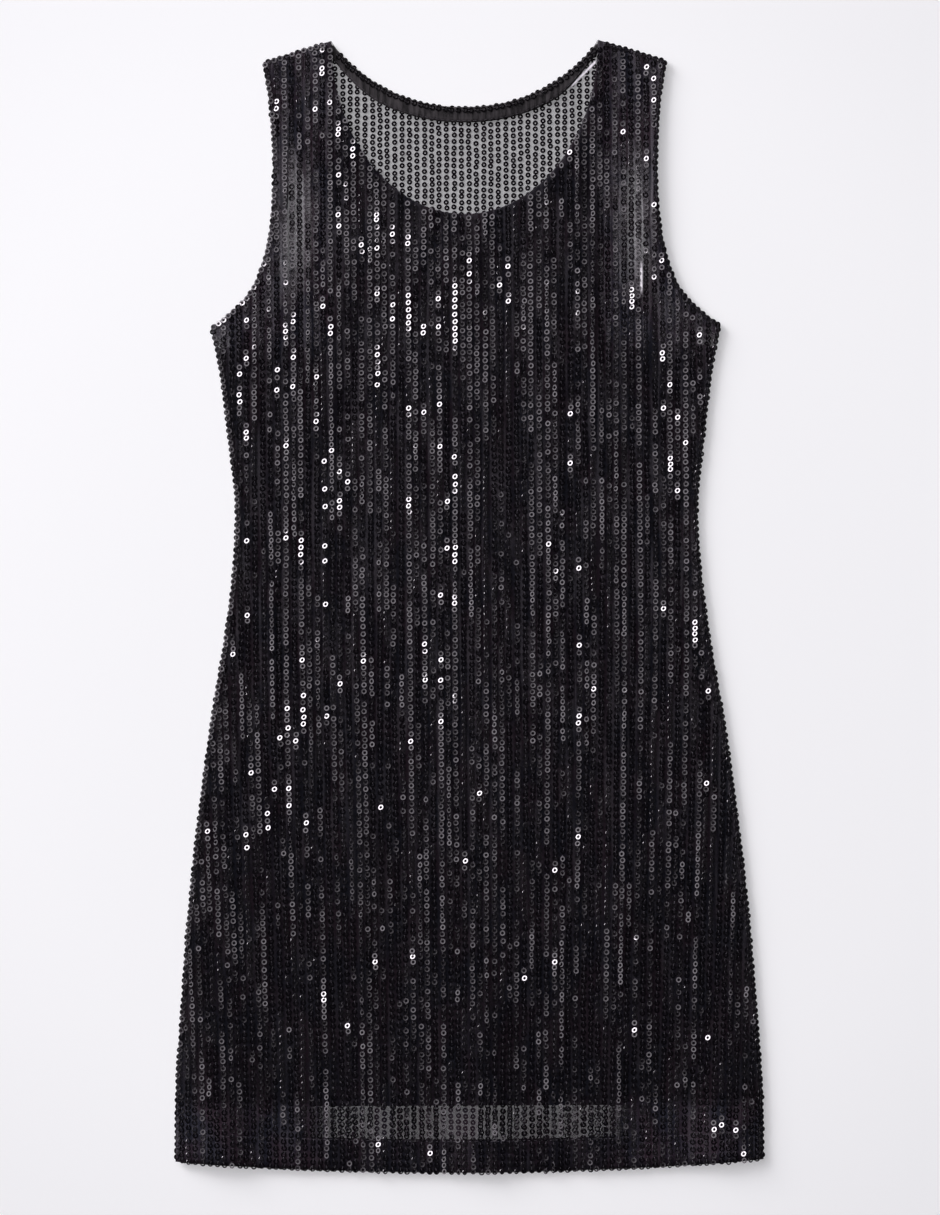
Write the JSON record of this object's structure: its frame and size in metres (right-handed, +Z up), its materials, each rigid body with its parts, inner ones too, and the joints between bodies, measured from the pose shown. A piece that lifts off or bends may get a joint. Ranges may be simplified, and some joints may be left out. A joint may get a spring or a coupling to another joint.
{
  "type": "sleeveless dress",
  "caption": "Sleeveless A-line mini dress in sequinned mesh over a plain lining, with scoop necks, laid flat on its back.",
  "frame": {"origin": "on the surface the dress lies on, under the middle of its box", "axes": "+X to the viewer's right, which is the wearer's left, +Y along the dress from hem to neck, +Z up from the surface through the front"},
  "size_m": [0.458, 0.8834, 0.0093],
  "materials": {
    "sequinned_mesh": "sheer black mesh sewn with rows of glossy black cup sequins",
    "lining": "plain matt black jersey",
    "turned_mesh": "folded black mesh without sequins, dull"
  },
  "bodies": {
    "root": {"front_shell": "sequinned_mesh", "back_shell": "sequinned_mesh", "front_lining": "lining", "back_lining": "lining", "back_neck_turning": "turned_mesh", "front_armhole_turning_right": "turned_mesh", "front_armhole_turning_left": "turned_mesh", "back_armhole_turning_right": "turned_mesh", "back_armhole_turning_left": "turned_mesh", "front_hem_turning": "turned_mesh", "back_hem_turning": "turned_mesh"}
  },
  "joints": []
}
